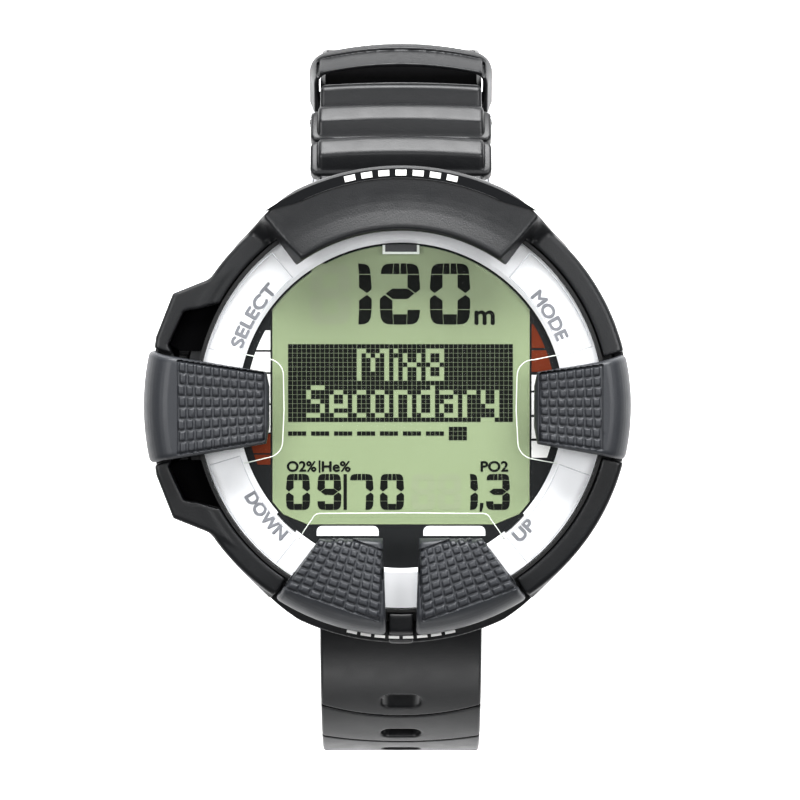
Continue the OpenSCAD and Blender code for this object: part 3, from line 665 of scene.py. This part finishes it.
def build_lower_strap():
    """The long strap, with eight slots, a curved groove after each, and a round tip."""
    (x, s, n), origin, step = grid((-STRAP_HALF, 2.2, -3.3), (STRAP_HALF, 112.8, 1.6), 0.165)
    length = along(WIDE_FROM, LONG_R) + along(52, WIDE_R)
    eye = eye_place(LONG_R)
    body = band_field(x, s, n, eye, length + 5)
    tip = np.hypot(x, np.maximum(s - (length - STRAP_HALF), 0)) - STRAP_HALF
    body = common(body, tip + 0 * n, 0.4)
    for k in range(8):
        at = along(43.5 + 16.3 * k, LONG_R)
        hole = np.hypot(np.maximum(np.abs(x) - 1.45, 0), s - at) - 1.28
        body = cut(body, hole + 0 * n, 0.3)
        line = np.abs(s - at - 3.14 + 2.42 * (x / STRAP_HALF) ** 2)
        body = cut(body, np.maximum(line - 0.16, 0.75 - n), 0.1)
        body = cut(body, np.maximum(line - 0.2, n + 1.0), 0.1)
    body = cut(body, np.hypot(s - eye[0], n - eye[1]) - 0.8 + 0 * x)
    piece = moulded("lower_strap_shell", body, origin, step, MATERIALS["strap"], "lower_strap",
                    bend=bent_long, keep=0.45)
    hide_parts("tail_strap")


def build_keeper_shadow_band():
    """Near-black matt band on the short strap under the keeper: painted shadow of the keeper's tunnel.
    """
    low = (-10.3, along(51.8, SHORT_R), STRAP_SKIN - 0.2)
    high = (10.3, along(80, SHORT_R), STRAP_SKIN + 0.09)
    (x, s, n), origin, step = grid(low, high, 0.12)
    band = box_field(x, s, n, low, high, 0.05)
    # painted shadow: a near-black band where the keeper shades the strap
    moulded("keeper_painted_shadow", band, origin, step, MATERIALS["void"], "upper_strap",
            bend=bent_short, keep=0.2)


def build_keeper():
    """The loop that holds the strap's free end: an arched top with a raised rim over a thinner lip."""
    near, far = along(50.0, SHORT_R), along(58.3, SHORT_R)
    (x, s, n), origin, step = grid((-12.8, near, -2.9), (12.8, far + 0.4, 6.4), 0.14)
    across = np.abs(x)
    rise = 1.9 * (across / 12.4) ** 2
    taper = 0.7 * np.clip(1 - (s - near) / 3.0, 0, 1)
    outer = common(np.maximum(across - 12.45 + taper, -2.75 - n), n - 6.1 + rise, 2.6)
    flare = 0.75 * np.clip(1 - (s - near) / 1.0, 0, 1)
    inner = common(np.maximum(across - 11.15, -1.4 - n), n - 4.5 - flare + rise, 1.4)
    wall = np.maximum(outer, -inner)
    shell = common(wall + 0 * s, np.abs(s - (near + far) / 2) - (far - near) / 2, 0.25)
    lip_step = np.maximum(np.maximum(s - (far - 1.05), 5.72 - rise - n), across - 11.3)
    shell = cut(shell, lip_step, 0.12)
    slit = np.maximum(np.maximum(np.abs(across - 11.2) - 0.16, s - (far - 1.2)), 3.4 - n)
    shell = cut(shell, slit, 0.1)
    piece = moulded("keeper_shell", shell, origin, step, MATERIALS["strap"], "keeper",
                    bend=bent_short, keep=0.6)
    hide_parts("strap_keeper")


def build_buckle():
    """Steel frame and tang of the buckle, rounded like bent wire."""
    middle, turn = SHORT_R - STRAP_SKIN, math.radians(BUCKLE_ANGLE)
    pin_y, pin_z = BEND_Y + middle * math.sin(turn), bend_height(SHORT_R) + middle * math.cos(turn)
    length = 13.0
    (x, y, z), origin, step = grid((-13.4, -length - 1.8, -2.4), (13.4, 2.4, 2.4), 0.2)
    across = np.abs(x) - 12.9
    body = prism(np.maximum(across, np.abs(y + length / 2) - length / 2) + 0 * z, z, -1.3, 1.3, 0.6)
    body = join(body, np.maximum(np.hypot(y, z) - 2.2, across), 0.4)
    body = join(body, common(np.hypot(y + length, z) - 1.6 + 0 * x, across + 0 * y, 0.8), 0.3)
    hole = np.maximum(np.abs(x) - 11.2, np.maximum(y - 4, 2.7 - length - y))
    body = cut(cut(body, hole + 0 * z, 0.5), np.hypot(y, z) - 1 + 0 * x)
    place = np.array([0, pin_y, pin_z])
    piece = moulded("buckle_shell", body, origin + place, step, MATERIALS["buckle"], "buckle", keep=0.6)
    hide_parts("buckle_frame")

    (x, y, z), origin, step = grid((-2.6, -14.1, -3.2), (2.6, 2.1, 2.1), 0.13)
    shank = box_field(x, y, z, (-2.4, 2.9 - length, -1.8), (2.4, 0, -0.4), 0.4)
    point = box_field(x, y, z, (-2.4, -1 - length, -3.1), (2.4, 4 - length, -1.65), 0.45)
    knuckle = np.maximum(np.hypot(y, z) - 2, np.abs(x) - 2.5)
    body = join(join(shank, point, 0.5), knuckle, 0.5)
    body = cut(body, np.hypot(y, z) - 1 + 0 * x)
    piece = moulded("tang_shell", body, origin + place, step, MATERIALS["buckle"], "tang", keep=0.6)
    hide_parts("buckle_tang")


# ---------------------------------------------------------------- flat print, lettering and fine lines


def plates(name, outlines, low, high, material, body="case"):
    """One mesh of flat plates, each cut to an outline in plan."""
    verts, faces = [], []
    for outline in outlines:
        area = sum(p[0] * q[1] - q[0] * p[1] for p, q in zip(outline, outline[1:] + outline[:1]))
        points = outline if area > 0 else outline[::-1]
        n, base = len(points), len(verts)
        verts += [(px, py, low) for px, py in points] + [(px, py, high) for px, py in points]
        faces.append(list(range(base + n - 1, base - 1, -1)))
        faces.append(list(range(base + n, base + 2 * n)))
        faces += [[base + i, base + (i + 1) % n, base + n + (i + 1) % n, base + n + i] for i in range(n)]
    return new_object(name, verts, faces, material, body, smooth=False)


def sector(inner, outer, start, end, count=6):
    """Outline of a piece of a flat ring."""
    return arc(0, 0, outer, start, end, count) + arc(0, 0, inner, end, start, count)


def bar(low, high):
    """Outline of a rectangle."""
    return [(low[0], low[1]), (high[0], low[1]), (high[0], high[1]), (low[0], high[1])]


def lettering(name, word, width, height, place, material, weight):
    """A word as a thin plate. place maps arrays (across, up) about the word's centre to x, y and z, and
    weight is how far four shifted copies thicken its strokes."""
    curve = bpy.data.curves.new(name, "FONT")
    curve.body = word
    curve.extrude = 0.5
    maker = bpy.data.objects.new(name + "_maker", curve)
    bpy.context.scene.collection.objects.link(maker)
    bpy.context.view_layer.update()
    ready = maker.evaluated_get(bpy.context.evaluated_depsgraph_get())
    mesh = bpy.data.meshes.new_from_object(ready)
    points = np.array([v.co for v in mesh.vertices])
    faces = [tuple(p.vertices) for p in mesh.polygons]
    bpy.data.objects.remove(maker)
    bpy.data.curves.remove(curve)
    bpy.data.meshes.remove(mesh)
    low, high = points.min(0), points.max(0)
    across = ((points[:, 0] - low[0]) / (high[0] - low[0]) - 0.5) * width
    up = ((points[:, 1] - low[1]) / (high[1] - low[1]) - 0.5) * height
    verts, all_faces = [], []
    for k, (right, rise) in enumerate(((weight, 0), (-weight, 0), (0, weight), (0, -weight))):
        x, y, z = place(across + right, up + rise)
        verts.append(np.stack([x, y, z + (0.04 + 0.003 * k) * (points[:, 2] > 0)], 1))
        all_faces += [tuple(i + k * len(points) for i in face) for face in faces]
    return new_object(name, np.concatenate(verts), all_faces, material, "case", smooth=False)


def on_ring(middle, radius, z, outward):
    """Places a word along a ring, with the tops of its letters outward or towards the centre."""
    turn = -1 if outward else 1

    def place(across, up):
        angle = math.radians(middle) + turn * across / radius
        r = radius - turn * up
        return r * np.cos(angle), r * np.sin(angle), z + 0 * up
    return place


def on_flat(x, y, z):
    """Places a word flat about a point."""
    return lambda across, up: (x + across, y + up, z + 0 * up)


def rod(name, points, radius, material, closed=False):
    """A thin round line along points."""
    points = np.array(points, float)
    ahead = np.roll(points, -1, 0) - np.roll(points, 1, 0)
    if not closed:
        ahead[0], ahead[-1] = points[1] - points[0], points[-1] - points[-2]
    ahead /= np.linalg.norm(ahead, axis=1)[:, None]
    side = np.cross(ahead, (0, 0, 1))
    side /= np.linalg.norm(side, axis=1)[:, None]
    top = np.cross(side, ahead)
    around = 8
    verts, faces = [], []
    for k in range(around):
        turn = 2 * math.pi * k / around
        verts.append(points + radius * (math.cos(turn) * side + math.sin(turn) * top))
    verts = np.concatenate(np.stack(verts, 1))
    count = len(points)
    for i in range(count if closed else count - 1):
        j = (i + 1) % count
        for k in range(around):
            m = (k + 1) % around
            faces.append([i * around + k, j * around + k, j * around + m, i * around + m])
    if not closed:
        faces.append(list(range(around)))
        faces.append([(count - 1) * around + k for k in range(around - 1, -1, -1)])
    return new_object(name, verts, faces, material, "case")


# ---------------------------------------------------------------- display

CELL = 0.598
MATRIX_LEFT, MATRIX_TOP = -14.72, 8.02
WIDE_LETTERS = {
    "M": ["##...##", "#.#.#.#", "#..#..#", "#..#..#", "#..#..#", "#.....#", "#.....#"],
    "i": ["#", ".", "#", "#", "#", "#", "#"],
    "x": ["....", "#..#", "#..#", ".##.", "#..#", "#..#", "#..#"],
    "8": ["####", "#..#", "#..#", ".##.", "#..#", "#..#", "####"],
    "S": [".###", "#...", "#...", ".##.", "...#", "...#", "###."],
    "e": ["....", ".##.", "#..#", "#..#", "####", "#...", ".###"],
    "c": ["...", ".##", "#..", "#..", "#..", "#..", ".##"],
    "o": ["....", ".##.", "#..#", "#..#", "#..#", "#..#", ".##."],
    "n": ["....", "###.", "#..#", "#..#", "#..#", "#..#", "#..#"],
    "d": ["...#", ".###", "#..#", "#..#", "#..#", "#..#", ".###"],
    "a": ["....", "###.", "...#", ".###", "#..#", "#..#", ".###"],
    "r": ["...", ".##", "#..", "#..", "#..", "#..", "#.."],
    "y": ["....", "#..#", "#..#", "#..#", ".###", "...#", "...#", "###."],
}
# outlines of the segments on the right of a large digit, about the digit's centre
UPPER = [(2.02, 0.12), (2.6, 0.6), (2.62, 0.9), (2.5, 2.5), (0.99, 2.5), (0.99, 0.85)]
TOP_CORNER = [(0.99, 2.6), (2.49, 2.6), (2.42, 3.2), (2.2, 3.65), (1.75, 3.9), (0.87, 3.97)]
TOP_HALF = [(0.06, 2.6), (0.9, 2.6), (0.78, 3.97), (0.1, 3.97)]
LOWER = [(2.02, -0.12), (2.6, -0.6), (2.63, -0.9), (2.62, -1.98), (0.99, -1.98), (0.99, -0.85)]
BOTTOM_CORNER = [(0.99, -2.07), (2.62, -2.07), (2.5, -3.1), (2.2, -3.65), (1.75, -3.9), (1.0, -3.97),
                 (0.9, -3.9)]
BOTTOM = [(-0.9, -2.65), (0.9, -2.65), (0.82, -3.97), (-0.82, -3.97)]
MIDDLE = [(-1.88, 0.04), (-0.99, 0.7), (1.0, 0.7), (1.88, 0.08), (1.0, -0.65), (-0.95, -0.65)]
SEGMENTS = {"A": [TOP_HALF], "B": [UPPER], "C": [LOWER], "D": [BOTTOM], "G": [MIDDLE], "I": [TOP_CORNER],
            "J": [BOTTOM_CORNER]}
LEFT_OF = {"a": "A", "f": "B", "e": "C", "i": "I", "j": "J"}
DIGITS = {"0": "ABCDIJafeij", "1": "IBCJ", "2": "AaIiBGejDJ", "3": "AaIiBGCJDj", "7": "AaIiBCJ",
          "9": "AaIiBfGCJDj", "8": "ABCDGIJafeij"}


# height above the display's middle, width and height of the digits in its upper and lower row
LARGE_ROW = (14.53, 5.22, 7.94)
SMALL_ROW = (-11.26, 3.1, 4.69)


def digit(character, x, y, width, height):
    """Segments of a digit, as outlines, at a place and size."""
    sx, sy = width / 5.24, height / 7.94
    shapes = []
    for key in DIGITS[character]:
        flip = -1 if key in LEFT_OF else 1
        for outline in SEGMENTS[LEFT_OF.get(key, key)]:
            shapes.append([(x + flip * sx * px, y + sy * py) for px, py in outline])
    return shapes


def matrix_cells():
    """Dark cells of the dot matrix, row by row: two inverse words, a dashed line and a block."""
    lit = set()
    for word, first_column, first_row in (("Mix8", 15, 1), ("Secondary", 4, 9)):
        column = first_column
        for letter in word:
            rows = WIDE_LETTERS[letter]
            lit |= {(column + c, first_row + r) for r, row in enumerate(rows)
                    for c, mark in enumerate(row) if mark == "#"}
            column += len(rows[0]) + 1
    dark = [(c, r) for r in range(17) for c in range(49) if (c, r) not in lit]
    dark += [(5 * dash + c, 19) for dash in range(7) for c in range(4)]
    dark += [(c, r) for r in (18, 19, 20) for c in range(35, 39)]
    return dark


def build_display():
    """Everything that shows on the display, as thin dark plates, and three faint unlit digits."""
    ink_low, ink_top = LCD_TOP, LCD_TOP + 0.04
    gap = 0.055
    cells = []
    for column, row in matrix_cells():
        left, top = MATRIX_LEFT + column * CELL, MATRIX_TOP - row * CELL
        cells.append(bar((left + gap / 2, top - CELL + gap / 2), (left + CELL - gap / 2, top - gap / 2)))
    plates("dot_matrix", cells, ink_low, ink_top, MATERIALS["ink"])
    shapes = []
    for character, x in (("1", -6.44), ("2", -0.13), ("0", 6.38)):
        shapes += digit(character, x, *LARGE_ROW)
    for character, x in (("0", -13.42), ("9", -9.34), ("7", -5.15), ("0", -1.17),
                         ("1", 8.47), ("3", 12.63)):
        shapes += digit(character, x, *SMALL_ROW)
    shapes.append(bar((-7.49, -13.6), (-7.06, -8.95)))
    shapes.append([(10.3, -12.7), (10.76, -12.7), (10.7, -13.3), (10.5, -13.85), (10.25, -13.85)])
    plates("large_digits", shapes, ink_low, ink_top, MATERIALS["ink"])
    ghosts = []
    for x in (2.9, 6.3):
        ghosts += digit("8", x, *SMALL_ROW)
    ghosts += digit("8", -9.2, *LARGE_ROW)
    plates("unlit_digits", ghosts, ink_low, LCD_TOP + 0.02, MATERIALS["ghost"])
    for name, word, width, height, x, y, weight in (
            ("unit_label", "m", 2.45, 1.7, 10.88, 11.45, 0.09),
            ("oxygen_label", "O2%", 3.75, 1.3, -12.95, -7.94, 0.06),
            ("helium_label", "He%", 3.65, 1.3, -8.45, -7.94, 0.06),
            ("partial_label", "PO2", 3.5, 1.3, 12.18, -7.94, 0.06)):
        lettering(name, word, width, height, on_flat(x, y, ink_low), MATERIALS["ink"], weight)
    plates("label_divider", [bar((-10.72, -8.75), (-10.5, -7.15))], ink_low, ink_top, MATERIALS["ink"])


# ---------------------------------------------------------------- dial, labels and window


def field_bar(side, low, high):
    """A coloured field of the dial beside the display, between two heights."""
    inner, outer = 17.0, 20.2
    rim = [(side * math.sqrt(outer ** 2 - y * y), y) for y in np.linspace(low, high, 5).tolist()]
    return [(side * inner, low)] + rim + [(side * inner, high)]


def build_dial_print():
    """The coloured fields beside the display, and white plates under the lower pads: a painted
    reflection of the ring.
    """
    top = DIAL_TOP
    orange = [field_bar(1, *span) for span in ((7.5, 10.6), (4.4, 7.2))]
    orange += [field_bar(-1, *span) for span in ((-6.2, -3.7), (-7.7, -6.4))]
    white = [field_bar(1, *span) for span in ((1.95, 4.0), (-1.2, 1.7), (-4.3, -1.5), (-6.8, -4.6))]
    white += [field_bar(-1, *span) for span in ((7.25, 9.8), (4.35, 7.0), (0.3, 4.1), (-3.5, 0.05))]
    plates("orange_fields", orange, top, top + 0.05, MATERIALS["orange"])
    plates("white_fields", white, top, top + 0.05, MATERIALS["white"])
    # white crescents under the lower pads: painted reflection of the white ring in the window's recess
    reflection_outlines = []
    for side in (-1, 1):
        a, b = sorted((side * 11.0, side * 2.9))
        reflection_outlines.append([(a, -17.0), (b, -17.0), (b, -16.4)] + arc(b - 0.7, -16.4, 0.7, 0, 90, 4)
                    + arc(a + 0.7, -16.4, 0.7, 90, 180, 4) + [(a, -16.4)])
    plates("ring_reflection_plates", reflection_outlines, top, top + 0.08, MATERIALS["ring"])


def build_labels():
    """The button names on the white ring, its two slots, and the tab at the top of the display."""
    ring_top = node_box("label_ring")[1][2] + 0.01
    for name, word, middle, outward, width in (
            ("mode_label", "MODE", 31.2, True, 6.9), ("select_label", "SELECT", 148.6, True, 9.1),
            ("down_label", "DOWN", 219.2, False, 7.1), ("up_label", "UP", 314.6, False, 2.9)):
        place = on_ring(middle, 22.75, ring_top, outward)
        lettering(name, word, width, 1.6, place, MATERIALS["grey"], 0.1)
    slots = [sector(20.98, 21.42, a, a + 9, 4) for a in (221, 309.5)]
    plates("ring_slots", slots, ring_top - 0.1, ring_top + 0.03, MATERIALS["dial"])
    tab = [bar((-2.05, 20.02), (2.05, 20.95))]
    plates("top_tab", tab, LCD_TOP + 0.25, LCD_TOP + 0.9, MATERIALS["lock"])
    # the tab's clear border is drawn near-white: painted highlight for the light its clear edges catch
    border = [bar((-2.4, 19.7), (2.4, 20.02)), bar((-2.4, 20.02), (-2.05, 20.9)),
              bar((2.05, 20.02), (2.4, 20.9))]
    plates("top_tab_border", border, LCD_TOP + 0.25, LCD_TOP + 0.75, MATERIALS["edge"])


def build_window_edge_highlights():
    """Rods along the window's moulded steps and panels: white painted highlights and grey painted
    shading.
    """
    left = ([(-20.6, 6.85), (-17.4, 6.15)] + arc(-17.3, 4.05, 2.1, 85, 0, 7) + [(-15.12, -0.4)]
            + arc(-17.4, -4.5, 2.1, 0, -78, 7) + [(-20.3, -7.35)])
    right = ([(20.6, 6.75), (17.2, 6.05)] + arc(17.1, 3.95, 2.1, 97, 180, 7) + [(14.88, -0.4)]
             + arc(17.3, -4.6, 2.2, 180, 258, 7) + [(20.2, -7.35)])
    bottom = ([(-13.2, -17.2), (-12.5, -16.0)] + arc(-10.5, -14.9, 1.05, 160, 92, 5) + [(0, -13.78)]
              + arc(10.6, -14.9, 1.05, 88, 20, 5) + [(12.6, -16.0), (13.4, -17.2)])
    # white rods of painted highlight along the window's steps
    for name, line in (("left_step", left), ("right_step", right), ("bottom_step", bottom)):
        rod(name + "_edge", [(px, py, WINDOW_TOP) for px, py in line], 0.075, MATERIALS["edge"])
    # grey rods of painted shading along the bevels of the raised panels
    panels = {"mode": (17.5, 50), "select": (130, 163), "down": (197, 231.5), "up": (309, 340)}
    for name, (start, end) in panels.items():
        outline = sector(21.75, 25.9, start, end, 14)
        rod(name + "_panel_edge_shading", [(px, py, WINDOW_TOP + 0.5) for px, py in outline], 0.06,
            MATERIALS["panel_edge_shading"], closed=True)


def build_ticks():
    """Plain white dashes on the dark band of the arch and on the lower hood."""
    verts, faces = [], []
    thickness = 0.29

    def add(inner, outer, middle, half_turn, top):
        base = len(verts)
        start, end = middle - half_turn, middle + half_turn
        for height in (top - thickness, top):
            for radius, angle in ((inner, start), (inner, end), (outer, end), (outer, start)):
                verts.append((*polar(radius, angle), height))
        faces.extend([[base + 3, base + 2, base + 1, base], [base + 4, base + 5, base + 6, base + 7]])
        for i, j in ((0, 1), (1, 2), (2, 3), (3, 0)):
            faces.append([base + i, base + j, base + 4 + j, base + 4 + i])

    for k in range(7):
        add(29.8, 30.55, 90 + (k - 3) * 4.2, 1.35, ARCH_BAND_TOP + 0.07)
    for k in range(8):
        add(30.0, 30.36, 270 + (k - 3.5) * 3.5, 1.3, 21.45)
    new_object("rim_ticks", verts, faces, MATERIALS["white"], "case", smooth=False)


def build_springs():
    """Stand-ins for the four springs, fixed to the case; the real springs flatten as their buttons go
    down.
    """
    for button in BUTTONS:
        node = button + "_spring"
        mesh = frame["nodes"][node].data
        verts = [tuple(v.co / MM) for v in mesh.vertices]
        faces = [tuple(p.vertices) for p in mesh.polygons]
        coil = new_object(node + "_coil", verts, faces, MATERIALS["steel"], "case")
        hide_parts(node)
        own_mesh(coil)


# ---------------------------------------------------------------- camera, light and floor


CAMERA_LENS = 173.3
CAMERA_DISTANCE = 0.5  # metres
CAMERA_TARGET = Vector((-0.13, 0.78, 22))
CAMERA_LEAN = math.radians(2)
FACE_CENTRE = Vector((0, 0, 20))
FLOOR_GAP = 0.5  # from the lowest point of the strap to the floor
FLOOR_REACH = 1500


def place_camera():
    """A long lens above the face, leaning two degrees towards twelve o'clock."""
    data = bpy.data.cameras.new("camera")
    data.lens = CAMERA_LENS
    data.clip_end = 5
    camera = bpy.data.objects.new("camera", data)
    bpy.context.scene.collection.objects.link(camera)
    back = Vector((0, math.sin(CAMERA_LEAN), math.cos(CAMERA_LEAN)))
    camera.location = CAMERA_TARGET * MM + back * CAMERA_DISTANCE
    across = Vector((1, 0, 0))
    camera.rotation_mode = "QUATERNION"
    camera.rotation_quaternion = Matrix((across, back.cross(across), back)).transposed().to_quaternion()
    bpy.context.scene.camera = camera


def area_light(name, place, size, power):
    """A rectangular lamp aimed at the middle of the face. Places and sizes are in millimetres."""
    data = bpy.data.lights.new(name, "AREA")
    data.shape = "RECTANGLE"
    data.size, data.size_y = size[0] * MM, size[1] * MM
    data.energy = power
    light = bpy.data.objects.new(name, data)
    bpy.context.scene.collection.objects.link(light)
    light.location = Vector(place) * MM
    light.rotation_mode = "QUATERNION"
    light.rotation_quaternion = (FACE_CENTRE * MM - light.location).to_track_quat("-Z", "Y")


def light_studio():
    """Soft side lamps, a faint overhead one, and a large one behind twelve o'clock for the crests."""
    world = bpy.data.worlds.new("studio")
    world.use_nodes = True
    sky = world.node_tree.nodes["Background"]
    sky.inputs["Color"].default_value = (0.93, 0.96, 1, 1)
    sky.inputs["Strength"].default_value = 0.1
    bpy.context.scene.world = world
    bpy.context.scene.view_settings.view_transform = "Standard"
    bpy.context.scene.view_settings.gamma = 0.85
    area_light("overhead", (40, 60, 560), (200, 200), 0.4)
    area_light("left", (-300, 40, 430), (200, 240), 1.25)
    area_light("right", (320, 60, 430), (200, 240), 1.25)
    area_light("back", (30, 430, 240), (520, 280), 6.6)
    area_light("front", (0, -520, 160), (420, 120), 0.8)


def lay_floor():
    """A plain pale sheet just under the strap, bright enough to read as white paper."""
    low = cad_bounds[0][2] / MM - FLOOR_GAP
    mesh = bpy.data.meshes.new("floor")
    corners = bar((-FLOOR_REACH, -FLOOR_REACH), (FLOOR_REACH, FLOOR_REACH))
    mesh.from_pydata([(px * MM, py * MM, low * MM) for px, py in corners], [], [(0, 1, 2, 3)])
    paper = surface("floor_paper", (0.95, 0.95, 0.95), 0.9, blotch=0.0, rough_spread=0.02)
    shader = paper.node_tree.nodes["Principled BSDF"]
    shader.inputs["Emission Color"].default_value = (1, 1, 1, 1)
    shader.inputs["Emission Strength"].default_value = 0.6
    mesh.materials.append(paper)
    floor = bpy.data.objects.new("floor", mesh)
    bpy.context.scene.collection.objects.link(floor)


# ---------------------------------------------------------------- the whole scene

place_camera()
light_studio()
lay_floor()
dress_frame()
build_bezel()
for button in BUTTONS:
    build_pad(button)
build_upper_strap()
build_lower_strap()
build_keeper_shadow_band()
build_keeper()
build_buckle()
build_display()
build_dial_print()
build_labels()
build_window_edge_highlights()
build_ticks()
build_springs()
